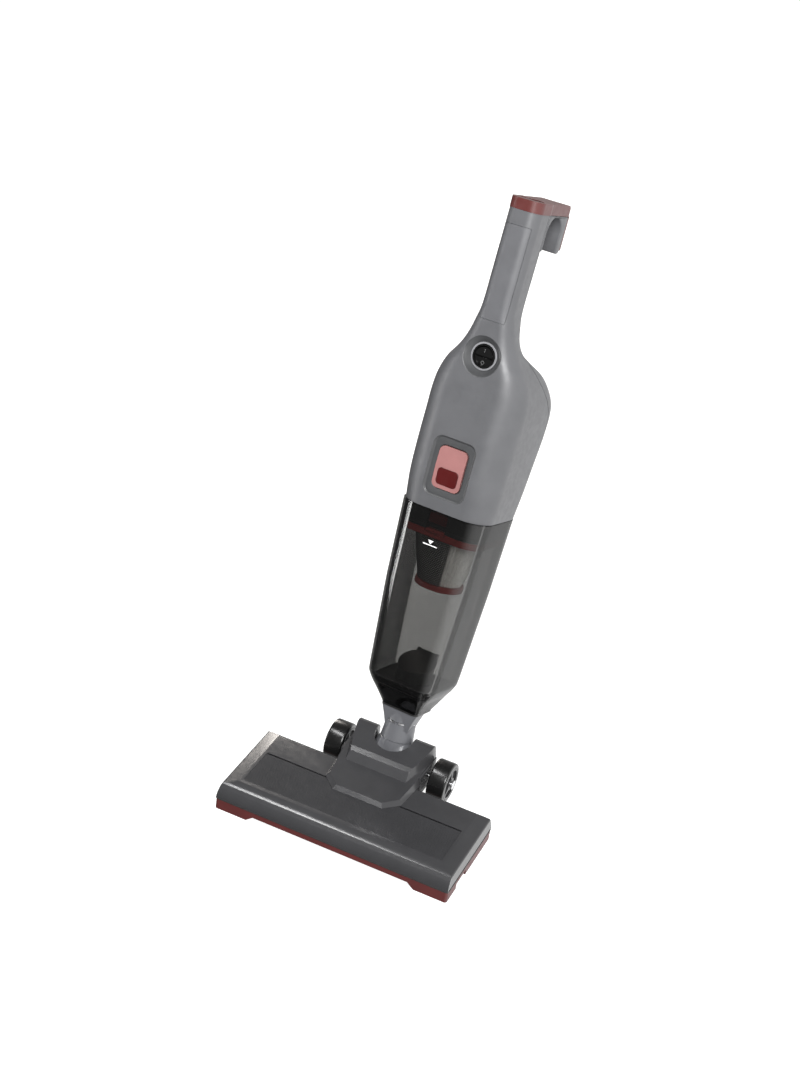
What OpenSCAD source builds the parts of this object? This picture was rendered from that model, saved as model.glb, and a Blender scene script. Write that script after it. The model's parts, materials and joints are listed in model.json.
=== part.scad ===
// Stick vacuum cleaner: hand-held motor unit with a clear dust cup,
// plugged through a swivelling neck into a wide floor head.
// Origin: on the floor under the centre of the floor head. +X right, +Y to the rear, +Z up.
// The stick is drawn upright in its own frame: X right, Y rear, Z along the stick from the
// tilt pivot, and is then leaned and turned into place by on_stick().

/* [Pose] */
// Backward lean of the stick from upright, in degrees
lean = 18; // [10:1:25]
// Turn of the stick about its own axis, in degrees
twist = 7; // [0:1:15]

/* [Floor head] */
// Width of the floor head
head_w = 260; // [250:1:280]
// Depth of the floor head, front to back
head_d = 114; // [112:1:116]
// Height of the red base plate
base_h = 12.5; // [12:0.5:14]
// Height of the top cover above the floor
cover_h = 30; // [29.5:0.5:31]
// Width of the hood over the pivot
hood_w = 92; // [90:1:94]
// Height of the tilt pivot above the floor
pivot_z = 35; // [34.5:0.5:36]
// Distance of the tilt pivot behind the head's centre
axle_y = 90; // [89:0.5:91]
// Distance of the wheel axles behind the head's centre
wheel_y = 86.5; // [86:0.5:88]
// Wheel diameter
wheel_d = 44; // [42:1:45]
// Wheel width
wheel_w = 19.5; // [17:0.5:20]

/* [Stick] */
// Wall thickness of the housing
wall = 2.4; // [2:0.1:3]
// Wall thickness of the clear dust cup
cup_wall = 2.2; // [1.8:0.1:2.5]
// Gap between the two housing shells, half on each side of the seam
seam_gap = 0.12; // [0.05:0.01:0.2]
// Diameter of the neck spigot
spigot_d = 28.8; // [28:0.1:28.9]
// Running clearance on radius of turning and sliding round parts
run_fit = 0.05; // [0.03:0.01:0.09]

/* [Controls] */
// Width of the release button
button_w = 31; // [28:1:32]
// Height of the release button
button_h = 43; // [40:1:44]
// Diameter of the round power switch
switch_d = 24; // [22:0.5:25]

/* [Motor] */
// Diameter of the motor can
can_d = 66; // [60:1:68]
// Diameter of the fan impeller
fan_d = 70; // [64:1:72]
// Diameter of the motor shaft
shaft_d = 6; // [5:0.5:7]

/* [Hidden] */
$fn = 64;

// Steps round each corner of a lofted shell
corner_steps = 6;
// Steps between two named sections of the housing
loft_steps = 2;

// Height of the joint between cup and housing, along the stick
joint_s = 271;
// Height of the top of the handle under the red cap
handle_s = 577;
// Top of the red cap
cap_s = 588;
// Centre of the release button
button_s = 316;
// Face of the release button, towards the front
button_face = 51.2;
// Pivot of the release button
pin_s = 335;
pin_v = -44.5;
pin_r = 1.2;
// Front face and thickness of the arm that carries the latch tongue
arm_v = -45.8;
arm_t = 2;
// Centre of the power switch
switch_s = 432;
// Depth of the switch face, pivot of the rocker and its tilt to each side
switch_v = -41;
rocker_v = -35.5;
rocker_pin_r = 1.2;
rocker_tilt = 7;
// Lower end and top of the grip inlay
grip_low_s = 468;
grip_top_s = 562;
// Rear line of the handle and back line of the hook
handle_rear_v = -5.5;
hook_back_v = 34;
hook_half_w = 16;
// Spigot and neck
spigot_r = spigot_d / 2;
spigot_top_s = 79;
spigot_v = 2;
neck_low_s = 14.4;
neck_top_s = 48;
// Barrel of the elbow
barrel_r = 17.5;
barrel_half = 20.4;
trunnion_r = 5;
swivel_r = 15;
notch_half = 21;
// Flap hinge, at the rear top of the inlet duct
flap_v = 21;
flap_s = 106;
flap_tilt = 20;
duct_r = 19;
duct_low_v = -19;
duct_low_s = 91;
// Wheel
wheel_x = 50;
wheel_z = wheel_d / 2;
axle_r = 3;

// Sections of the housing: height, half width, front, rear, front and rear corner radii
body_sections = [
    [joint_s + 0.4, 49, 48.5, 47.5, 27, 27],
    [300, 51, 51.5, 51, 28, 28],
    [330, 51.7, 51.3, 55.5, 28, 28],
    [363, 52, 50, 61, 28, 28],
    [388, 52, 48.5, 59, 27, 27],
    [405, 49.6, 48, 48, 26, 25],
    [421, 42.9, 47.3, 32, 22, 22],
    [433, 34.6, 46.6, 8, 19, 17],
    [441, 29.8, 46.5, -6, 17, 15],
    [452, 25, 46.6, -12, 15, 13],
    [466, 20.8, 47, -11.5, 13, 12],
    [482, 17.8, 47, -9.5, 12, 12],
    [520, 17.5, 46.2, -7.8, 12, 12],
    [handle_s, 17.5, 44.5, -5.5, 12, 12]
];

// Sections of the dust cup, from the collar up to the housing
cup_sections = [
    [50.2, 21.5, 16, 26, 5, 10],
    [54, 23, 18, 31, 5, 10],
    [66, 28.6, 28, 39, 9, 13],
    [75, 34.5, 35, 41.4, 13, 17],
    [84, 39.3, 40, 41, 16, 20],
    [95, 40.4, 40.6, 40.6, 17, 20],
    [187, 46.3, 46, 44.5, 21, 25],
    [joint_s, 49.6, 49, 47, 24, 27]
];

// ---- Lofted shells ----

function arc(cx, cy, r, from, n) =
    [for (i = [0:n]) [cx + r * cos(from + 90 * i / n), cy + r * sin(from + 90 * i / n)]];

// One ring of a section, moved in by the distance inset
function ring(s, inset, n) =
    let (
        a = s[1] - inset,
        f = s[2] - inset,
        b = s[3] - inset,
        rf = max(s[4] - inset, 0.5),
        rb = max(s[5] - inset, 0.5)
    )
    concat(
        arc(a - rb, b - rb, rb, 0, n),
        arc(rb - a, b - rb, rb, 90, n),
        arc(rf - a, rf - f, rf, 180, n),
        arc(a - rf, rf - f, rf, 270, n)
    );

function spline(p, q, r, s, t) =
    0.5 * (2 * q + (r - p) * t + (2 * p - 5 * q + 4 * r - s) * t * t
    + (3 * q - p - 3 * r + s) * t * t * t);

function smooth(list, n) =
    let (last = len(list) - 1)
    concat(
        [for (i = [0:last - 1]) for (j = [0:n - 1])
            spline(list[max(i - 1, 0)], list[i], list[i + 1], list[min(i + 2, last)], j / n)],
        [list[last]]
    );

// The section at height s, found between its two neighbours
function section_at(list, s) =
    let (
        k = max([for (i = [0:len(list) - 2]) if (list[i][0] <= s || i == 0) i]),
        t = (s - list[k][0]) / (list[k + 1][0] - list[k][0])
    )
    list[k] + (list[k + 1] - list[k]) * t;

// The sections between two heights, cut off at both
function between(list, low, high) =
    concat(
        [section_at(list, low)],
        [for (s = list) if (s[0] > low + 0.01 && s[0] < high - 0.01) s],
        [section_at(list, high)]
    );

module loft(list, inset) {
    m = 4 * (corner_steps + 1);
    k = len(list);
    points = [for (s = list) for (p = ring(s, inset, corner_steps)) [p[0], p[1], s[0]]];
    sides = [for (j = [0:k - 2]) for (i = [0:m - 1])
        let (low = j * m, high = (j + 1) * m, next = (i + 1) % m)
        for (tri = [0, 1])
            tri == 0 ? [low + i, high + i, low + next] : [low + next, high + i, high + next]];
    bottom = [for (i = [0:m - 1]) i];
    top = [for (i = [0:m - 1]) k * m - 1 - i];
    polyhedron(points, concat(sides, [bottom, top]));
}

housing = smooth(body_sections, loft_steps);

// ---- Helpers ----

module on_stick() {
    translate([0, axle_y, pivot_z])
        rotate([-lean, 0, 0])
            rotate([0, 0, -twist])
                children();
}

module on_elbow() {
    translate([0, axle_y, pivot_z])
        rotate([-lean, 0, 0])
            children();
}

// A plate cut from a side outline, drawn in rear and height, centred across the width
module across(w) {
    rotate([90, 0, 90])
        linear_extrude(height = w, center = true)
            children();
}

// A front-to-back prism from an outline drawn in width and height, from v0 to v1
module through(v0, v1) {
    translate([0, v1, 0])
        rotate([90, 0, 0])
            linear_extrude(height = v1 - v0)
                children();
}

module rounded_rect(w, h, r) {
    union() {
        square([w - 2 * r, h], center = true);
        square([w, h - 2 * r], center = true);
        for (x = [-1, 1])
            for (y = [-1, 1])
                translate([x * (w / 2 - r), y * (h / 2 - r)])
                    circle(r);
    }
}

module pipe(r_out, r_in, s0, s1) {
    translate([0, 0, s0])
        difference() {
            cylinder(r = r_out, h = s1 - s0);
            translate([0, 0, -1])
                cylinder(r = r_in, h = s1 - s0 + 2);
        }
}

module x_rod(r, x0, x1) {
    translate([x0, 0, 0])
        rotate([0, 90, 0])
            cylinder(r = r, h = x1 - x0);
}

module y_rod(r, y0, y1) {
    translate([0, y1, 0])
        rotate([90, 0, 0])
            cylinder(r = r, h = y1 - y0);
}

// ---- Motor unit ----

// Side outline of everything behind the seam, shifted to the rear by gap
module rear_region(gap) {
    across(160)
        polygon([
            [38 + gap, joint_s - 2],
            [38 + gap, 372],
            [30 + gap, 392],
            [gap - 4, 428],
            [gap - 18, 450],
            [gap - 20, 466],
            [gap - 16, cap_s + 4],
            [90, cap_s + 4],
            [90, joint_s - 2]
        ]);
}

module housing_skin() {
    difference() {
        loft(housing, 0);
        loft(concat([housing[0] - [2, 0, 0, 0, 0, 0]], housing,
            [housing[len(housing) - 1] + [2, 0, 0, 0, 0, 0]]), wall);
    }
}

module front_shell() {
    color("dimgray")
        on_stick()
            difference() {
                union() {
                    difference() {
                        housing_skin();
                        rear_region(-seam_gap);
                        translate([0, 0, button_s])
                            through(-60, -40)
                                rounded_rect(44, 58, 8);
                        translate([0, 0, switch_s])
                            y_rod(18.2, -60, -35);
                    }
                    intersection() {
                        loft(housing, 0.3);
                        union() {
                            translate([0, 0, button_s])
                                through(-60, -46.6)
                                    rounded_rect(50, 64, 10);
                            translate([0, 0, switch_s])
                                y_rod(20.6, -60, -38.2);
                        }
                    }
                    // Lugs that hold the button's pivot pin
                    for (x = [-19.5, 16.5])
                        translate([x, -47.6, 331])
                            cube([3, 5.6, 8]);
                }
                translate([0, pin_v, pin_s])
                    x_rod(pin_r, -19.2, 19.2);
                // Sunk field round the button, and the opening the button moves in
                translate([0, 0, button_s])
                    through(-60, -49.2)
                        rounded_rect(48, 62, 10);
                translate([0, 0, button_s])
                    through(-60, -40)
                        rounded_rect(button_w + 1.2, button_h + 1.2, 6.6);
                // Dish and seat of the switch
                translate([0, switch_v - 8, switch_s])
                    rotate([-90, 0, 0])
                        cylinder(r1 = 20.5, r2 = 14.2, h = 8.01);
                translate([0, 0, switch_s])
                    y_rod(14.2, -45, -30);
                // Seat of the grip inlay
                grip_block(0.15);
            }
}

// The block of the grip inlay, larger all round by gap
module grip_block(gap) {
    low = grip_low_s - gap;
    high = grip_top_s + gap;
    difference() {
        translate([-13.5 - gap, -60, low])
            cube([27 + 2 * gap, 26, high - low]);
        loft(between(housing, grip_low_s - 4, grip_top_s + 4), 1.5 + gap);
    }
}

module grip_inlay() {
    color("slategray")
        on_stick()
            intersection() {
                loft(housing, 0);
                grip_block(0);
            }
}

// Side outline of the hanging hook with its arched gap
module hook_outline() {
    difference() {
        translate([handle_rear_v - 6, 539])
            square([hook_back_v - handle_rear_v + 6, handle_s - 539]);
        translate([handle_rear_v - 1, 530])
            square([31, 29]);
        translate([handle_rear_v + 14.5, 559])
            circle(15.5);
        translate([hook_back_v - 4, 535])
            rotate(45)
                square(4, center = true);
    }
}

module rear_shell() {
    color("dimgray")
        on_stick()
            difference() {
                union() {
                    intersection() {
                        housing_skin();
                        rear_region(seam_gap);
                    }
                    difference() {
                        intersection() {
                            across(2 * hook_half_w)
                                hook_outline();
                            translate([0, 0, 530])
                                linear_extrude(height = 60)
                                    translate([0, hook_back_v - 35])
                                        rounded_rect(2 * hook_half_w, 70, 5);
                        }
                        loft(between(housing, 525, handle_s - 0.01), 0.6);
                    }
                }
                // Exhaust slots
                for (k = [0:8])
                    translate([-28, 30, 328 + 5.4 * k])
                        cube([56, 40, 2.4]);
                // Passage of the cord gland
                translate([0, 0, 290])
                    y_rod(6.2, 30, 60);
            }
}

module top_cap() {
    color("indianred")
        on_stick()
            difference() {
                union() {
                    intersection() {
                        translate([0, 0, handle_s + 0.1])
                            linear_extrude(height = cap_s - handle_s - 0.1)
                                union() {
                                    translate([0, -25])
                                        rounded_rect(35.6, 39.6, 12);
                                    translate([0, hook_back_v + 2.8 - 25])
                                        rounded_rect(2 * hook_half_w, 50, 4);
                                    translate([0, -12])
                                        square([2 * hook_half_w, 24], center = true);
                                }
                        across(60)
                            polygon([
                                [-60, handle_s - 4], [-60, cap_s - 1], [-50, cap_s],
                                [hook_back_v - 3, cap_s], [hook_back_v + 3, cap_s - 6],
                                [hook_back_v + 3, handle_s - 4]
                            ]);
                    }
                    // Band down the back of the hook
                    translate([-hook_half_w + 0.5, hook_back_v + 0.12, 543])
                        cube([2 * hook_half_w - 1, 2.6, handle_s - 542.5]);
                }
                // Lens-shaped socket for the extension handle
                translate([0, -26.5, 566])
                    linear_extrude(height = 40)
                        intersection() {
                            translate([0, 10.5])
                                circle(18.5);
                            translate([0, -10.5])
                                circle(18.5);
                        }
                // Pinstripe groove in the band
                translate([-0.6, hook_back_v + 2, 540])
                    cube([1.2, 4, handle_s - 545]);
            }
}

module switch_bezel() {
    color("lightgray")
        on_stick()
            translate([0, 0, switch_s])
                difference() {
                    y_rod(14.1, switch_v - 0.6, switch_v + 2.2);
                    y_rod(switch_d / 2 + 0.15, switch_v - 2, switch_v + 4);
                }
}

module switch_body() {
    color("black")
        on_stick()
            translate([0, 0, switch_s])
                difference() {
                    union() {
                        y_rod(switch_d / 2, switch_v - 1.2, switch_v + 16);
                        for (x = [-6, 0, 6])
                            translate([x - 1, switch_v + 15, -3])
                                cube([2, 9, 6]);
                    }
                    y_rod(switch_d / 2 - 1.6, switch_v - 3, switch_v + 12);
                    translate([0, rocker_v, 0])
                        x_rod(rocker_pin_r + run_fit, -11.8, 11.8);
                }
}

// Rocker: a shallow saddle that pivots about a cross pin
module switch_rocker() {
    color("black")
        on_stick()
            translate([0, rocker_v, switch_s])
                rotate([rocker_tilt, 0, 0])
                    union() {
                        intersection() {
                            union() {
                                x_rod(4, -9.6, 9.6);
                                rotate([-rocker_tilt, 0, 0])
                                    translate([-9.8, -6.4, 0])
                                        cube([19.6, 5.5, 9.4]);
                                rotate([rocker_tilt, 0, 0])
                                    translate([-9.8, -6.4, -9.4])
                                        cube([19.6, 5.5, 9.4]);
                            }
                            y_rod(switch_d / 2 - 2.2, -9, 9);
                        }
                        x_rod(rocker_pin_r, -11.6, 11.6);
                    }
}

module release_button() {
    color("lightcoral")
        on_stick()
            difference() {
                union() {
                    intersection() {
                        translate([0, 0, button_s])
                            through(-button_face - 2, -47.6)
                                rounded_rect(button_w, button_h, 6);
                        translate([0, 250 - button_face, button_s])
                            x_rod(250, -30, 30);
                    }
                    // Ears round the pivot pin and the arm down to the tongue
                    for (x = [-12, 9])
                        hull() {
                            translate([x, pin_v, pin_s])
                                x_rod(3, 0, 3);
                            translate([x, -48.4, pin_s - 4])
                                cube([3, 1, 6]);
                        }
                    translate([-6, -48, 296])
                        cube([12, 4.2, 9]);
                    translate([-6, arm_v, 277])
                        cube([12, arm_t, 22]);
                }
                translate([0, pin_v, pin_s])
                    x_rod(pin_r + run_fit, -20, 20);
                translate([0, 0, button_s - 9])
                    through(-60, -button_face + 1.3)
                        rounded_rect(23.4, 17.4, 4);
            }
}

module button_pad() {
    color("firebrick")
        on_stick()
            translate([0, 0, button_s - 9])
                intersection() {
                    through(-button_face - 0.1, -button_face + 1.25)
                        rounded_rect(23, 17, 3.8);
                    translate([0, 250 - button_face - 0.3, 9])
                        x_rod(250, -30, 30);
                }
}

module latch_tongue() {
    color("firebrick")
        on_stick()
            union() {
                translate([-10, arm_v + 0.9, 258])
                    cube([20, arm_t + 0.8, 10]);
                translate([-5.5, arm_v + arm_t + 0.1, 267.9])
                    cube([11, 1.6, 17]);
            }
}

module button_pin() {
    color("silver")
        on_stick()
            translate([0, pin_v, pin_s])
                x_rod(pin_r, -19, 19);
}

// Wire helix wound round the X axis
module coil(r, wire, turns, x0, x1, per_turn) {
    n = turns * per_turn;
    sides = 6;
    points = [for (i = [0:n]) for (k = [0:sides - 1])
        let (
            a = 360 * i / per_turn,
            q = r + wire * cos(360 * k / sides)
        )
        [x0 + (x1 - x0) * i / n + wire * sin(360 * k / sides), q * cos(a), q * sin(a)]];
    walls = [for (i = [0:n - 1]) for (k = [0:sides - 1]) for (tri = [0, 1])
        let (low = i * sides, high = low + sides, next = (k + 1) % sides)
            tri == 0 ? [low + k, low + next, high + k] : [low + next, high + next, high + k]];
    polyhedron(points, concat(walls, [[for (k = [0:sides - 1]) sides - 1 - k],
        [for (k = [0:sides - 1]) n * sides + k]]));
}

module button_spring() {
    color("silver")
        on_stick()
            translate([0, pin_v, pin_s])
                coil(2.2, 0.4, 6, -7, 7, 12);
}

module bulkhead() {
    color("black")
        on_stick()
            difference() {
                union() {
                    loft(between(cup_sections, 250.6, joint_s), cup_wall + 0.6);
                    loft(between(housing, joint_s + 0.5, 276), wall + 0.25);
                    translate([0, 0, joint_s - 0.5])
                        cylinder(r = 38, h = 2);
                }
                translate([0, 0, 240])
                    cylinder(r = 22, h = 60);
                // Way of the latch tongue and its arm
                translate([-11, -60, 240])
                    cube([22, 25, 60]);
                // Groove of the cup seal
                difference() {
                    translate([0, 0, 252.5])
                        loft(seal_sections(), -2);
                    translate([0, 0, 252])
                        loft(seal_sections(), 2);
                }
            }
}

// Sections of a short band at the cup's inside, with its foot at zero height
function seal_sections() =
    [for (s = [253, 256])
        let (q = section_at(cup_sections, s))
        [s - 253, q[1] - cup_wall - 0.6, q[2] - cup_wall - 0.6, q[3] - cup_wall - 0.6,
            q[4] - cup_wall - 0.6, q[5] - cup_wall - 0.6]];

module cup_seal() {
    color("black")
        on_stick()
            translate([0, 0, 252.7])
                difference() {
                    loft([for (s = seal_sections()) [s[0] * 0.85, s[1], s[2], s[3], s[4], s[5]]], -0.2);
                    translate([0, 0, -1])
                        loft([for (s = seal_sections()) [s[0] * 2, s[1], s[2], s[3], s[4], s[5]]], 1.9);
                    translate([-11, -60, -10])
                        cube([22, 25, 60]);
                }
}

module fan_shroud() {
    color("silver")
        on_stick()
            difference() {
                translate([0, 0, 280])
                    cylinder(r = fan_d / 2 + 3, h = 21);
                translate([0, 0, 281.5])
                    cylinder(r = fan_d / 2 + 1.5, h = 30);
                translate([0, 0, 270])
                    cylinder(r = 17, h = 30);
            }
}

module motor_can() {
    color("silver")
        on_stick()
            union() {
                pipe(can_d / 2, can_d / 2 - 1.5, 303.2, 356);
                difference() {
                    pipe(fan_d / 2 + 3, can_d / 2 - 1.6, 301.2, 303.2);
                    for (k = [0:5])
                        rotate(60 * k)
                            translate([can_d / 2 + 2.4, 0, 290])
                                cylinder(r = 1.5, h = 30);
                }
            }
}

module field_coils() {
    color("peru")
        on_stick()
            difference() {
                pipe(can_d / 2 - 1.7, 19.2, 312, 344);
                for (k = [0:3])
                    rotate(90 * k + 45)
                        translate([15, -4, 300])
                            cube([20, 8, 60]);
            }
}

module bracket(s0, s1) {
    difference() {
        union() {
            translate([0, 0, s0])
                cylinder(r = 12, h = s1 - s0);
            for (k = [0:3])
                rotate(90 * k)
                    translate([8, -6, s0])
                        cube([can_d / 2 - 1.7 - 8.6, 12, 3]);
        }
        translate([0, 0, s0 + 1])
            cylinder(r = 9.5, h = s1 - s0 + 2);
        translate([0, 0, s0 - 2])
            cylinder(r = 6, h = s1 - s0 + 4);
    }
}

module motor_bracket_lower() {
    color("silver")
        on_stick()
            bracket(303.4, 310.4);
}

module motor_bracket_upper() {
    color("silver")
        on_stick()
            bracket(358, 366.5);
}

module motor_bearings() {
    color("gainsboro")
        on_stick()
            for (s = [304.5, 359.2])
                pipe(9.4, shaft_d / 2 + run_fit, s, s + 5.5);
}

module carbon_brushes() {
    color("saddlebrown")
        on_stick()
            for (k = [-1, 1])
                translate([k > 0 ? 11.4 : -27.4, -3.5, 346.5])
                    cube([16, 7, 6]);
}

module motor_mounts() {
    color("black")
        on_stick()
            union() {
                difference() {
                    pipe(44.2, can_d / 2 + 0.05, 344, 355);
                    for (k = [0:7])
                        rotate(45 * k)
                            translate([39, 0, 340])
                                cylinder(r = 3.2, h = 20);
                }
                pipe(fan_d / 2 + 3, 23, 276.1, 279.9);
            }
}

module vent_grille() {
    color("black")
        on_stick()
            difference() {
                intersection() {
                    loft(between(housing, 322, 380), wall + 0.3);
                    translate([-30, 42, 322])
                        cube([60, 30, 56]);
                }
                loft(between(housing, 320, 385), wall + 1.8);
                for (k = [0:8])
                    translate([-27, 30, 326 + 5.4 * k])
                        cube([54, 40, 3.2]);
            }
}

module exhaust_foam() {
    color("dimgray")
        on_stick()
            difference() {
                intersection() {
                    loft(between(housing, 324, 376), wall + 2);
                    translate([-28, 41.5, 324])
                        cube([56, 30, 52]);
                }
                loft(between(housing, 320, 385), wall + 5);
                translate([0, 0, 300])
                    cylinder(r = 44.5, h = 100);
            }
}

module housing_screws() {
    color("silver")
        on_stick()
            for (p = [[-20, 400], [20, 400]])
                translate([p[0], 0, p[1]])
                    union() {
                        y_rod(1.5, 8, 22);
                        y_rod(3, 22, 24);
                    }
}

module cord_gland() {
    color("black")
        on_stick()
            translate([0, 0, 290])
                difference() {
                    union() {
                        y_rod(6.1, 44, 51);
                        y_rod(8.2, 50.6, 53.4);
                    }
                    y_rod(3.6, 40, 60);
                }
}

module motor_shaft() {
    color("silver")
        on_stick()
            translate([0, 0, 283.5])
                cylinder(r = shaft_d / 2, h = 84);
}

module armature() {
    color("darkgray")
        on_stick()
            difference() {
                pipe(18.4, shaft_d / 2, 313, 342);
                for (k = [0:11])
                    rotate(30 * k)
                        translate([14, -1, 300])
                            cube([8, 2, 60]);
            }
}

module commutator() {
    color("peru")
        on_stick()
            pipe(11, shaft_d / 2, 344.5, 355);
}

module fan_impeller() {
    color("silver")
        on_stick()
            difference() {
                union() {
                    pipe(fan_d / 2, shaft_d / 2, 297.5, 299);
                    pipe(8, shaft_d / 2, 288, 298);
                    pipe(fan_d / 2, 18, 285.5, 286.7);
                    for (k = [0:8])
                        rotate(40 * k)
                            translate([10, -0.6, 286.5])
                                cube([fan_d / 2 - 11, 1.2, 11.2]);
                }
                translate([0, 0, 280])
                    cylinder(r = shaft_d / 2, h = 30);
            }
}

module fan_nut() {
    color("silver")
        on_stick()
            difference() {
                translate([0, 0, 284.2])
                    cylinder(r = 6, h = 3.7, $fn = 6);
                translate([0, 0, 280])
                    cylinder(r = shaft_d / 2, h = 10);
            }
}

// ---- Filter ----

module filter_flange() {
    color("firebrick")
        on_stick()
            difference() {
                loft(between(cup_sections, 243, 250), cup_wall + 0.6);
                translate([0, 0, 230])
                    cylinder(r = 33, h = 40);
                translate([-12, -60, 247])
                    cube([24, 21, 20]);
            }
}

module pleated_filter() {
    pleats = 32;
    color("whitesmoke")
        on_stick()
            translate([0, 0, 191.2])
                difference() {
                    linear_extrude(height = 51.6, scale = 37.6 / 22.8)
                        polygon([for (i = [0:2 * pleats - 1])
                            let (r = i % 2 == 0 ? 22.8 : 20.6)
                            [r * cos(180 * i / pleats), r * sin(180 * i / pleats)]]);
                    translate([0, 0, -1])
                        cylinder(r1 = 17.4, r2 = 31, h = 54);
                }
}

module mesh_screen() {
    color("silver")
        on_stick()
            rotate([0, 0, 180])
                rotate_extrude(angle = 180)
                    polygon([[23.4, 191.2], [24.4, 191.2], [39.6, 242.8], [38.6, 242.8]]);
}

module filter_cap() {
    color("firebrick")
        on_stick()
            difference() {
                translate([0, 0, 185])
                    cylinder(r = 25.5, h = 6);
                translate([0, 0, 187])
                    cylinder(r = 21, h = 10);
            }
}

// ---- Dust cup ----

module dust_cup() {
    inner = between(cup_sections, 50.2, joint_s);
    color([0.5, 0.5, 0.5, 0.35])
        on_stick()
            difference() {
                loft(cup_sections, 0);
                loft(concat([inner[0] - [2, 0, 0, 0, 0, 0]], inner,
                    [inner[len(inner) - 1] + [2, 0, 0, 0, 0, 0]]), cup_wall);
            }
}

module socket_liner() {
    color("black")
        on_stick()
            difference() {
                union() {
                    loft(between(cup_sections, 50.2, 80), cup_wall + 0.08);
                    loft([
                        cup_sections[0] - [1.8, 0, 0, 0, 0, 0],
                        cup_sections[0] - [0.1, 0, 0, 0, 0, 0]
                    ], 0);
                    translate([0, 0, 49])
                        loft([
                            [0, 19, 13.7, 22, 3, 8],
                            [1.4, 19, 13.7, 22, 3, 8]
                        ], 0);
                }
                translate([0, spigot_v, 40])
                    cylinder(r = spigot_r + run_fit, h = 60);
            }
}

module inlet_duct() {
    color("black")
        on_stick()
            union() {
                difference() {
                    pipe(duct_r, duct_r - 1.8, 80.1, 112);
                    translate([0, duct_low_v, duct_low_s])
                        rotate([flap_tilt, 0, 0])
                            translate([-40, -20, 0])
                                cube([80, 100, 60]);
                }
                for (x = [-12, 9])
                    difference() {
                        hull() {
                            translate([x, flap_v, flap_s])
                                x_rod(2.6, 0, 3);
                            translate([x, duct_r - 3, 92])
                                cube([3, 2, 6]);
                        }
                        translate([x - 1, flap_v, flap_s])
                            x_rod(pin_r, 0, 5);
                    }
            }
}

module flap_pin() {
    color("silver")
        on_stick()
            translate([0, flap_v, flap_s])
                x_rod(pin_r, -12, 12);
}

module inlet_flap() {
    color("black")
        on_stick()
            difference() {
                union() {
                    intersection() {
                        translate([0, duct_low_v, duct_low_s + 0.5])
                            rotate([flap_tilt, 0, 0])
                                translate([-30, -4, 0])
                                    cube([60, 45, 1.6]);
                        translate([0, 0, 80])
                            cylinder(r = duct_r + 0.8, h = 40);
                    }
                    translate([0, flap_v, flap_s])
                        x_rod(2, -8.6, 8.6);
                    hull() {
                        translate([-7, flap_v - 2, flap_s])
                            cube([14, 2, 1.6]);
                        translate([-7, 14, 104.6])
                            cube([14, 2, 0.6]);
                    }
                }
                translate([0, flap_v, flap_s])
                    x_rod(pin_r + run_fit, -20, 20);
            }
}

module level_mark() {
    q = section_at(cup_sections, 236);
    color("white")
        on_stick()
            translate([0, -q[2] - 0.45, 236])
                rotate([90, 0, 0])
                    translate([0, 0, -0.2])
                        linear_extrude(height = 0.4)
                            union() {
                                translate([-8, -0.5])
                                    square([16, 1]);
                                polygon([[-3, 5], [3, 5], [0, 1]]);
                            }
}

// ---- Neck ----

module neck_adapter() {
    color("gray")
        on_stick()
            difference() {
                union() {
                    translate([0, 0, neck_low_s])
                        cylinder(r1 = 17.6, r2 = 14.6, h = neck_top_s - neck_low_s - 1);
                    loft([
                        [18, 11, 10, 11, 3, 8],
                        [36, 16.4, 13, 14.5, 3, 10],
                        [neck_top_s, 20.8, 15, 15, 3, 12]
                    ], 0);
                    translate([0, spigot_v, neck_top_s - 1])
                        cylinder(r = spigot_r, h = spigot_top_s - neck_top_s + 1);
                }
                cylinder(r = swivel_r + run_fit, h = 40.5);
                translate([0, 0, 30])
                    cylinder(r = 12.6, h = 17);
                translate([0, spigot_v, 46])
                    cylinder(r = 12.2, h = 60);
                translate([0, 0, 32.8])
                    cylinder(r = 15.9, h = 2.6);
                translate([0, spigot_v, 69])
                    difference() {
                        cylinder(r = spigot_r + 1, h = 2.4);
                        translate([0, 0, -1])
                            cylinder(r = spigot_r - 1.3, h = 5);
                    }
            }
}

module neck_seal() {
    color("black")
        on_stick()
            translate([0, spigot_v, 70.2])
                rotate_extrude()
                    translate([spigot_r - 0.65, 0])
                        circle(0.6, $fn = 24);
}

module elbow_barrel() {
    color("dimgray")
        on_elbow()
            difference() {
                union() {
                    intersection() {
                        x_rod(barrel_r, -barrel_half, barrel_half);
                        translate([-30, -30, -30])
                            cube([60, 60, 44]);
                        sphere(r = 22);
                    }
                    translate([0, 0, -5])
                        cylinder(r = 17.8, h = 19);
                    cylinder(r = swivel_r, h = 40);
                    x_rod(trunnion_r, -27.5, 27.5);
                }
                x_rod(13.5, -14, 14);
                translate([0, 0, -2])
                    cylinder(r = 12.6, h = 60);
                translate([-14, -30, -12])
                    cube([28, 30, 14]);
                translate([-14, -14, -30])
                    cube([28, 20, 30]);
                translate([0, 0, 33])
                    difference() {
                        cylinder(r = 20, h = 2.2);
                        translate([0, 0, -1])
                            cylinder(r = 14.2, h = 5);
                    }
            }
}

module swivel_ring() {
    color("silver")
        on_elbow()
            difference() {
                pipe(15.7, 14.3, 33.3, 34.9);
                translate([-2, -20, 30])
                    cube([4, 10, 10]);
            }
}

// ---- Floor head ----

// End outline of the cover, in width and height, moved in by inset
module cover_ends(inset) {
    half = head_w / 2 - inset;
    polygon([
        [-half + 0.4, base_h - 1], [-half + 0.4, base_h + 1.8], [-half + 1.8, 27 - inset],
        [-half + 16, cover_h - inset], [half - 16, cover_h - inset],
        [half - 1.8, 27 - inset], [half - 0.4, base_h + 1.8], [half - 0.4, base_h - 1]
    ]);
}

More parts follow.
